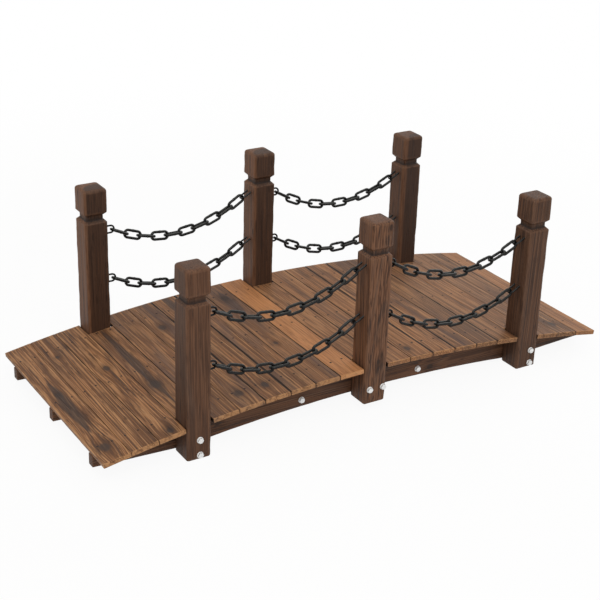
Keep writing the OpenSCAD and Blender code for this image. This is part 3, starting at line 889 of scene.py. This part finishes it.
# Radii and heights of a nail's three rings: in the wood, at its rim and on its top.
NAIL_RADII = (0.0031, 0.0031, 0.0022)
NAIL_HEIGHTS = (-0.0008, 0.0001, 0.0004)
nail_one = np.ones(NAIL_POINTS)
nail_radii, nail_heights = np.outer(NAIL_RADII, nail_one), np.outer(NAIL_HEIGHTS, nail_one)
nail_points, nail_faces = [], []
for across, up, origin in plank_frames:
    for y in (-STRINGER_Y, 0.0, STRINGER_Y):
        offsets = np.array([-NAIL_ASIDE, NAIL_ASIDE]) + rng.uniform(-STRAY_ACROSS, STRAY_ACROSS, 2)
        shifts = y + rng.uniform(-STRAY_ALONG, STRAY_ALONG, 2)
        places = origin + PLANK_THICKNESS / 2 * up + offsets[:, None] * across
        places[:, 1] += shifts
        points, faces = stacked_rings(nail_radii, nail_heights, places, up)
        first = sum(len(p) for p in nail_points)
        nail_faces += [f + first for f in faces]
        nail_points.append(points)
make_piece("deck_nails", np.concatenate(nail_points), nail_faces, rust, sharp=50.0)


# The stage, the light and the camera

FLOOR_HALF = 9
FLOOR_GREY = (0.86, 0.86, 0.86, 1.0)
# How much of the floor's own shade shows, and the distances between which it fades out.
FLOOR_SHADE = 0.07
FADE_START, FADE_END = 1.0, 3.0


def seen_rays(paint):
    """1 for the rays that show white: from the camera, off gloss and through glass. Otherwise 0."""
    rays = paint.add("ShaderNodeLightPath", {}, {}).out.node.outputs
    kinds = ("Is Camera Ray", "Is Glossy Ray", "Is Transmission Ray")
    camera, gloss, through = (Socket(paint, rays[kind]) for kind in kinds)
    shown = camera + gloss + through
    return shown.math("MINIMUM", shown, 1.0)


def pale_floor():
    """A pale floor that shows as near white, keeps a share of the object's shadow, and fades to white."""
    p = Paint(bpy.data.materials.new("pale_floor"))
    plain = p.add("ShaderNodeBsdfDiffuse", {}, {"Color": FLOOR_GREY})
    white = p.add("ShaderNodeEmission", {}, {"Color": WHITE, "Strength": 1.0})
    away = p.add("ShaderNodeVectorMath", {"operation": "LENGTH"}, {0: p.place()}, "Value")
    share = seen_rays(p) * (away.ramp(FADE_START, FADE_END) * FLOOR_SHADE + (1 - FLOOR_SHADE))
    return p.surface(p.add("ShaderNodeMixShader", {}, {0: share, 1: plain, 2: white}))


floor_mesh = bpy.data.meshes.new("floor")
floor_corners = [(x * FLOOR_HALF, y * FLOOR_HALF, 0) for x, y in ((-1, -1), (1, -1), (1, 1), (-1, 1))]
floor_mesh.from_pydata(floor_corners, [], [(0, 1, 2, 3)])
floor_mesh.materials.append(pale_floor())
floor = bpy.data.objects.new("floor", floor_mesh)
bpy.context.scene.collection.objects.link(floor)

world = bpy.data.worlds.new("studio")
bpy.context.scene.world = world
sky = Paint(world)
soft = sky.add("ShaderNodeBackground", {}, {"Color": (1.0, 0.99, 0.97, 1.0), "Strength": 0.62})
white = sky.add("ShaderNodeBackground", {}, {"Color": WHITE, "Strength": 1.0})
backdrop = sky.add("ShaderNodeMixShader", {}, {0: seen_rays(sky), 1: soft, 2: white})
sky.add("ShaderNodeOutputWorld", {}, {"Surface": backdrop})


def soft_box(name, place, aim, size, power, colour=(1.0, 1.0, 1.0)):
    """A square studio lamp at a place, turned to a point."""
    lamp = bpy.data.lights.new(name, "AREA")
    lamp.size, lamp.energy, lamp.color = size, power, colour
    obj = bpy.data.objects.new(name, lamp)
    obj.location = place
    obj.rotation_euler = (Vector(aim) - Vector(place)).to_track_quat("-Z", "Y").to_euler()
    bpy.context.scene.collection.objects.link(obj)


soft_box("key", place=(-1.2, -2.6, 3.4), aim=(0.0, 0.0, 0.1), size=2.4, power=62.0,
         colour=(1.0, 0.98, 0.95))
soft_box("fill", place=(3.2, 0.8, 2.8), aim=(0.3, 0.0, 0.1), size=2.4, power=38.0)

# The camera's place, and its turn from looking along +Y: left, down and anticlockwise.
CAMERA_PLACE = (-1.7844, -2.7863, 1.6981)
CAMERA_YAW, CAMERA_PITCH, CAMERA_ROLL = -0.56104, 0.43023, 0.03262
FOCAL_SHARE = 1347.06 / 600
SENSOR_WIDTH = 36.0
ahead = Vector((-math.sin(CAMERA_YAW) * math.cos(CAMERA_PITCH),
                math.cos(CAMERA_YAW) * math.cos(CAMERA_PITCH), -math.sin(CAMERA_PITCH)))
sideways = Vector((math.cos(CAMERA_YAW), math.sin(CAMERA_YAW), 0))
upward = sideways.cross(ahead)
right = math.cos(CAMERA_ROLL) * sideways + math.sin(CAMERA_ROLL) * upward
upward = -math.sin(CAMERA_ROLL) * sideways + math.cos(CAMERA_ROLL) * upward
lens = bpy.data.cameras.new("camera")
lens.sensor_width = SENSOR_WIDTH
lens.lens = SENSOR_WIDTH * FOCAL_SHARE
camera = bpy.data.objects.new("camera", lens)
facing = Matrix((right, upward, -ahead)).transposed().to_4x4()
camera.matrix_world = Matrix.Translation(CAMERA_PLACE) @ facing
bpy.context.scene.collection.objects.link(camera)
bpy.context.scene.camera = camera
bpy.context.scene.view_settings.view_transform = "Standard"
